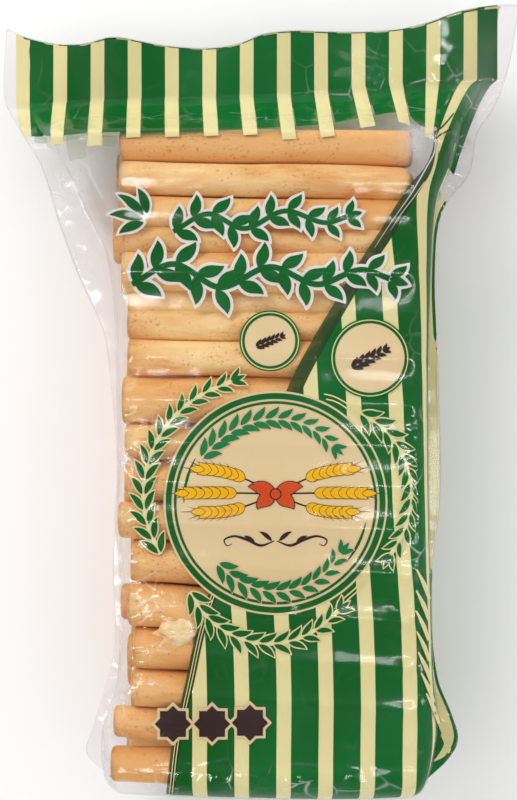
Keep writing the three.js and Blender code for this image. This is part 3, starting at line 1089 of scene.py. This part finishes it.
# The awning on the header: stripes that fan out over the shoulder to a fringe
AWNING_STEP = 12.69
AWNING_LEFT, AWNING_UNDER_EDGE = -80.2, 0.25
CREAM_SHARE = 0.184
AWNING_FIRST, AWNING_LAST = -0.2, 12.73
KINK_Y = through([(-74, 101), (-45, 102.4), (-20, 103.7), (0.5, 104), (18.5, 105.1), (45, 108.2),
                  (74, 108.5)])
LOW_X = through([(-0.2, -81), (1, -69.2), (2, -55.9), (4, -29.4), (6, -2.7), (8, 23.6), (10, 49.8), (11, 58),
                 (11.4, 60.4), (11.8, 61), (12.2, 61.8), (12.73, 66.5)])
LOW_Y = through([(-0.2, 89.8), (1, 89.5), (2, 90.5), (4, 91.5), (6, 92.5), (8, 94.2), (9, 96.5), (10, 97.6),
                 (10.5, 94), (11, 92.5), (11.4, 93), (11.8, 90), (12.2, 84), (12.73, 76)])
# How far each cream stripe hangs below the fringe
TONGUES = [0.5, 3.2, 4.2, 2, 2.2, 2.3, 2.5, 4.6, 4.8, 3.5, 3.4, 3.5, 0.5]
BACK_AWNING_FROM, BACK_MARGIN = 108, 7


def on_plane(points):
    """Where the eye sees points of space on the print's plane."""
    share = (EYE[2] - PRINT_PLANE) / (EYE[2] - points[..., 2])
    return EYE[0] + (points[..., 0] - EYE[0]) * share, EYE[1] + (points[..., 1] - EYE[1]) * share


TOP_X, TOP_SEEN = on_plane(front[-1])


def awning_stripe(first, last, longer):
    """The part of the awning between two places in its pattern, as a grid on the print's plane."""
    across = np.linspace(first, last, 8)[None, :]
    top_x = AWNING_LEFT + AWNING_STEP * across
    top_y = np.interp(top_x, TOP_X, TOP_SEEN) - AWNING_UNDER_EDGE
    kink_y = KINK_Y(top_x)
    low_x, low_y = LOW_X(across), LOW_Y(across) - longer
    upper = np.linspace(0, 1, 26)[:, None]
    lower = np.linspace(0, 1, 20)[1:, None]
    swept = lower ** mix(1, 0.65, ease(across, 11, 12))
    xs = np.concatenate([top_x + 0 * upper, mix(top_x - 0.15, low_x, swept)])
    ys = np.concatenate([mix(top_y, kink_y, upper), mix(kink_y, low_y, lower)])
    return xs, ys


def print_awning():
    for k, tongue in enumerate(TONGUES):
        stamp(cream, awning_stripe(max(k - CREAM_SHARE, AWNING_FIRST), k + CREAM_SHARE, tongue), 4.6)
        stamp(green, awning_stripe(k + CREAM_SHARE, min(k + 1 - CREAM_SHARE, AWNING_LAST), 0), 5)


def print_back_awning():
    """The same stripes on the back of the header."""
    y = np.linspace(BACK_AWNING_FROM, TOP_Y - 0.2, 50)[:, None]
    lines = np.round(np.interp(y[:, 0], LINE_Y, np.arange(len(LINE_Y)))).astype(int)
    right_end = DISTANCE[lines, COLUMNS][:, None]
    left_end = DISTANCE[lines, -1][:, None]
    for k in range(len(TONGUES)):
        for ink, start, end in ((cream, 0, 0.4), (green, 0.4, 1)):
            share = np.linspace(k + start, k + end, 7)[None, :] / len(TONGUES)
            distance = mix(right_end + BACK_MARGIN, left_end - BACK_MARGIN, share)
            ink.lay(*around(distance, y), 3)


def print_ghosts():
    """Faint ink beyond the fringe, where the print on the back shows through."""
    across = np.linspace(0.3, 10.6, 70)
    haze = np.stack([LOW_X(across), LOW_Y(across) - 0.7], axis=1)
    stamp(ghost, ribbon_shape(haze, 2.4 + 0.8 * np.sin(across * 2.3)), 5.2)
    for line, width in (([(-62, 89.5), (-62.3, 85.5), (-61.5, 81.5)], [7.4, 6.4, 6]),
                        ([(-69, 88.5), (-68.5, 86)], [5, 2]), ([(-50.5, 89.5), (-51, 86)], [5, 4])):
        stamp(ghost, ribbon_shape(line, width), 5.2)


# The round emblem, with its rings, sprays of leaves and crossed ears of wheat
EMBLEM = (5.8, -35.3)
# Bowed arcs round the emblem: the radii at start, middle and end, and the angles of start and end
OUTER_SPRAYS = [((43, 45.5, 44), 204, 110), ((42, 46.5, 43), 47, -24), ((42, 48, 42.5), 226, 300)]
INNER_SPRAYS = [((29.5, 28.5, 27.5), 149, 45), ((28.5, 30, 28), 226, 322)]
SWEEPS = [((31.2, 31.2, 31.2), 151, 180), ((31.4, 31.4, 31.4), -40, -12)]
FINE_ARCS = [((40.6, 41.6, 42.6), 66, 40), ((39.3, 40.2, 41.2), 64, 44), ((38.6, 41, 42.4), -34, -60),
             ((37.9, 39.8, 41), -38, -60)]


def print_emblem():
    stamp_rings(EMBLEM, [(solid_cream, 0, 38.1, 4), (green, 35.4, 37.4, 2.6), (green, 33.7, 34.6, 2.6)])
    for arc in OUTER_SPRAYS:
        sprig(arc_line(EMBLEM, *arc), (7.4, 2.2), 5, (green, cream), 0.5)
    for arc in INNER_SPRAYS:
        sprig(arc_line(EMBLEM, *arc), (6.8, 2.4), 4.1, (light_green, solid_cream), 0.25)
    for arc in SWEEPS:
        stamp(green, ribbon_shape(arc_line(EMBLEM, *arc), [0.2, 0.7, 0.9, 1, 0.9, 0.7, 0.2]), 3)
    for arc in FINE_ARCS:
        stamp(cream, ribbon_shape(arc_line(EMBLEM, *arc), 0.45), 2)


GRAIN_LENGTH, GRAIN_WIDTH, AWN_LENGTH = 4.9, 2.3, 8.9
LAST_GRAIN = 6


def wheat_ear(root, angle, length, bend):
    """An ear of wheat: a bowed stalk, then pairs of grains with fine brown edges and awns."""
    t = np.linspace(0, 1, 9)
    turn = math.radians(angle) + bend * t
    line = np.array(root) + np.stack([np.cumsum(np.cos(turn)), np.cumsum(np.sin(turn))], axis=1) * length / 9
    stamp(brown, ribbon_shape(line[:7], 0.55), 3)
    curves = [through(list(zip(t, values))) for values in line.T]
    for i in range(LAST_GRAIN + 1):
        at = 0.36 + 0.64 * i / LAST_GRAIN
        place = np.array([curve(at) for curve in curves])
        heading = angle + math.degrees(bend * at)
        for side in (-1, 1) if i < LAST_GRAIN else (0,):
            grain = (place, heading + side * 24, GRAIN_LENGTH, GRAIN_WIDTH, side * 0.3)
            edged_leaf((gold, brown), grain, 0.2, 0.12, 2.4 - 0.25 * i)
            stamp(brown, leaf_shape(place, heading + side * 16, AWN_LENGTH, 0.3, side * 0.2), 3)


SCROLL = [(0.5, 0), (5, -1.5), (10, 0.6), (14.5, 1.6), (17.5, 0.2), (16.5, -1.6), (14.8, -0.9)]


def print_wheat():
    """Two sheaves that cross at a red bow, and a small scroll below them."""
    x, y = EMBLEM
    for angle, length, bend in ((178, 28.5, 0.05), (146, 25, 0.5), (209, 24, -0.5)):
        wheat_ear((x - 1, y + 3), angle, length, bend)
        wheat_ear((x + 1, y + 3), 180 - angle, length, -bend)
    for side in (-1, 1):
        for angle, length in ((14, 9.6), (-40, 8)):
            loop = ((x, y + 3), 90 - side * (90 - angle), length, 4.6, -side * 0.5)
            edged_leaf((red, brown), loop, 0.3, 0.5)
    stamp_rings((x, y + 3), [(red, 0, 1.7, -0.6), (brown, 0, 2.1, -0.3)])
    for side in (-1, 1):
        scroll = [(x + side * dx, y - 13 + dy) for dx, dy in SCROLL]
        stamp(brown, ribbon_shape(scroll, [0.3, 0.9, 1, 0.7, 0.5, 0.35, 0.2], step=0.5), 3)
        stamp(brown, leaf_shape((x + side * 1.2, y - 13), 90 - side * 55, 5.5, 1.5, -side * 0.4), 3)
        stamp(brown, leaf_shape((x + side * 7, y - 13.4), 90 - side * 62, 4.5, 1.2, -side * 0.4), 3)


# Smaller marks, all of them plain
BADGES = [((3.9, 19.8), 8.6, 22), ((37.9, 14.0), 11.8, 28)]  # centre, radius and the sprig's angle
STARS = [(-29.1, -110.5), (-15.8, -110.5), (-2.9, -110.1)]
STAR_RADIUS = 6.2
FAN_AT = np.array([-37, 61])
FLAP_STRIPES = np.arange(-121, -62, 7.0)


def print_flap():
    """Pale stripes that run aslant over the flap at the lower right."""
    for y in FLAP_STRIPES:
        x = right_fold(y) * 0.93
        slant = [(x - 5.5, y + 7), (x - 3, y + 2), (x - 1.2, y - 3)]
        stamp(cream, ribbon_shape(slant, [0.5, 1.5, 1.1], step=0.5), -1)


def print_badge(centre, radius, angle):
    stamp_rings(centre, [(solid_cream, 0, radius, 2), (green, radius, radius + 0.9, 1),
                         (cream, radius + 0.9, radius + 1.3, 2), (green, radius + 1.3, radius + 1.8, 1)])
    line = [np.array(centre) + towards(angle) * radius * share for share in (-0.62, 0, 0.42)]
    leaf = (radius * 0.36, radius * 0.15)
    sprig(line, leaf, radius * 0.2, (brown, solid_cream), 0.05, stem=0.35, gap=0.2)


def print_stars():
    for centre in STARS:
        stamp(solid_cream, star_shape(centre, STAR_RADIUS + 1.3), 1.6)
        stamp(brown, star_shape(centre, STAR_RADIUS), -0.4)


def print_vines():
    """Two leafy vines across the sticks, and a fan of four leaves at their left end."""
    upper = [(-29, 57), (-17, 63), (-5, 58), (9, 64), (23, 60), (30, 62)]
    lower = [(-43, 39), (-29, 46), (-13, 38), (4, 45), (20, 39), (35, 44), (44.5, 41)]
    sprig(upper, (8, 3.6), 6.4, (green, pale), 1, lean=50, stem=1.6, gap=0.8)
    sprig(lower, (9.8, 4.4), 7.4, (green, pale), 1.1, lean=52, stem=1.9, gap=0.9)
    for line, width in ((upper, 1.7), (lower, 2)):
        stamp(green, ribbon_shape(line, width), 0.5)
    for angle, length in ((112, 9.5), (143, 12), (174, 12), (205, 9.5)):
        edged_leaf((green, pale), (FAN_AT + 2.2 * towards(angle), angle, length, 3.2, 0.4), 0.9)


def print_all():
    print_field()
    print_field_edges()
    print_flap()
    print_awning()
    print_back_awning()
    print_ghosts()
    print_emblem()
    print_wheat()
    for badge in BADGES:
        print_badge(*badge)
    print_stars()
    print_vines()
    return [ink.build() for ink in INKS]


prints = print_all()


# The broken stick near the lower left, and crumbs that lie about it
def lump(centre, size, seed, rings, around_count):
    """A rough lump of crumb, as (points, faces)."""
    theta = np.linspace(0.02, math.pi - 0.02, rings)[:, None]
    phi = np.linspace(0, 2 * math.pi, around_count, endpoint=False)[None, :]
    shape = (rings, around_count)
    crags = 0.1 * smooth_noise(shape, 5, seed) + 0.035 * smooth_noise(shape, 1.1, seed + 1)
    rough = 1 + crags * np.sin(theta)
    x = centre[0] + size[0] * rough * np.sin(theta) * np.cos(phi)
    y = centre[1] + size[1] * rough * np.sin(theta) * np.sin(phi)
    z = centre[2] + size[2] * (1 + (rough - 1) * 0.7) * np.cos(theta)
    return np.stack([x, y, z], axis=2).reshape(-1, 3), ring_faces(0, rings, around_count)


LOOSE_CRUMBS = 26
CRUMBS_X, CRUMBS_Y, CRUMB_SIZES = (-36, -20), (-88, -74), (0.25, 0.7)
UNDER_FACE = 57.6  # the crumbs stay under the film


def build_crumb():
    pieces = [lump(CRUMB_AT, CRUMB_SIZE, 3, 44, 72)]
    for _ in range(LOOSE_CRUMBS):
        x = rng.uniform(*CRUMBS_X)
        y = rng.uniform(*CRUMBS_Y)
        top = float(stick_tops(sticks, x, y))
        size = rng.uniform(*CRUMB_SIZES)
        if top > 0:
            centre = (x, y, min(top + size * 0.5, UNDER_FACE))
            pieces.append(lump(centre, (size, size * 0.8, size * 0.6), int(rng.integers(999)), 5, 7))
    points, faces, count = [], [], 0
    for piece_points, piece_faces in pieces:
        points.append(piece_points)
        faces += [tuple(count + i for i in face) for face in piece_faces]
        count += len(piece_points)
    thing = new_object("broken_crumb", np.concatenate(points), faces, CRUMB)
    for name in ("toasted", "tone_and_shade"):
        set_attribute(thing, name, np.zeros(count))
    merge_close(thing)
    return thing


crumb = build_crumb()

# Every piece rides on the part's one body, and the film and its contents stand for the solid
for thing in [film, breadsticks, crumb, *prints]:
    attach(thing, "root")
    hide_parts("bag")


# Stage, light and camera

def build_floor():
    n = Nodes("floor")
    material = n.finished(n.surface((0.92, 0.92, 0.92, 1), 0.85))
    reach, low = 3000, -0.02
    corners = [(-reach, -reach, low), (reach, -reach, low), (reach, reach, low), (-reach, reach, low)]
    new_object("floor", corners, [(0, 1, 2, 3)], material, smooth=False)


def area_light(name, place, size, power):
    """An oblong light that shines at the origin."""
    light = bpy.data.lights.new(name, "AREA")
    light.shape = "RECTANGLE"
    light.size, light.size_y = size
    light.energy = power
    thing = bpy.data.objects.new(name, light)
    thing.location = place
    thing.rotation_euler = (-Vector(place)).to_track_quat("-Z", "Y").to_euler()
    bpy.context.scene.collection.objects.link(thing)
    return thing


# Strip lights that only the film mirrors: name, place, size and power
GLINTS = [("glint_left", (-0.52, -0.1, 1.0), (0.12, 0.9), 14),
          ("glint_right", (0.52, -0.1, 1.0), (0.12, 0.9), 8),
          ("glint_top", (0.1, 0.78, 1.0), (0.9, 0.06), 1.2)]
ROOM = [(0.2, 1.05), (0.84, 0.88), (0.95, 0.3)]  # how bright the room is at three heights


def build_light():
    """A bright soft room, darker overhead, a light from the upper left, and strips for glints in the film."""
    world = bpy.data.worlds.new("studio")
    bpy.context.scene.world = world
    world.use_nodes = True
    tree = world.node_tree
    place = tree.nodes.new("ShaderNodeTexCoord")
    split = tree.nodes.new("ShaderNodeSeparateXYZ")
    ramp = tree.nodes.new("ShaderNodeValToRGB")
    ramp.color_ramp.elements.new(0.5)
    for element, (at, grey) in zip(ramp.color_ramp.elements, ROOM):
        element.position = at
        element.color = (grey, grey, grey, 1)
    tree.links.new(place.outputs["Generated"], split.inputs[0])
    tree.links.new(split.outputs["Z"], ramp.inputs["Fac"])
    tree.links.new(ramp.outputs["Color"], tree.nodes["Background"].inputs["Color"])
    tree.nodes["Background"].inputs["Strength"].default_value = 1.08
    area_light("key", (-0.8, 0.95, 0.9), (0.8, 0.5), 9.5)
    for glint in GLINTS:
        area_light(*glint).visible_diffuse = False


def build_camera():
    camera = bpy.data.cameras.new("camera")
    camera.angle = 2 * math.atan(PHOTO_HEIGHT / 2 / (EYE[2] - PRINT_PLANE))
    camera.clip_start = 0.01
    thing = bpy.data.objects.new("camera", camera)
    thing.location = metres(EYE)[0]
    bpy.context.scene.collection.objects.link(thing)
    bpy.context.scene.camera = thing


build_floor()
build_light()
build_camera()
bpy.context.scene.view_settings.view_transform = "Standard"
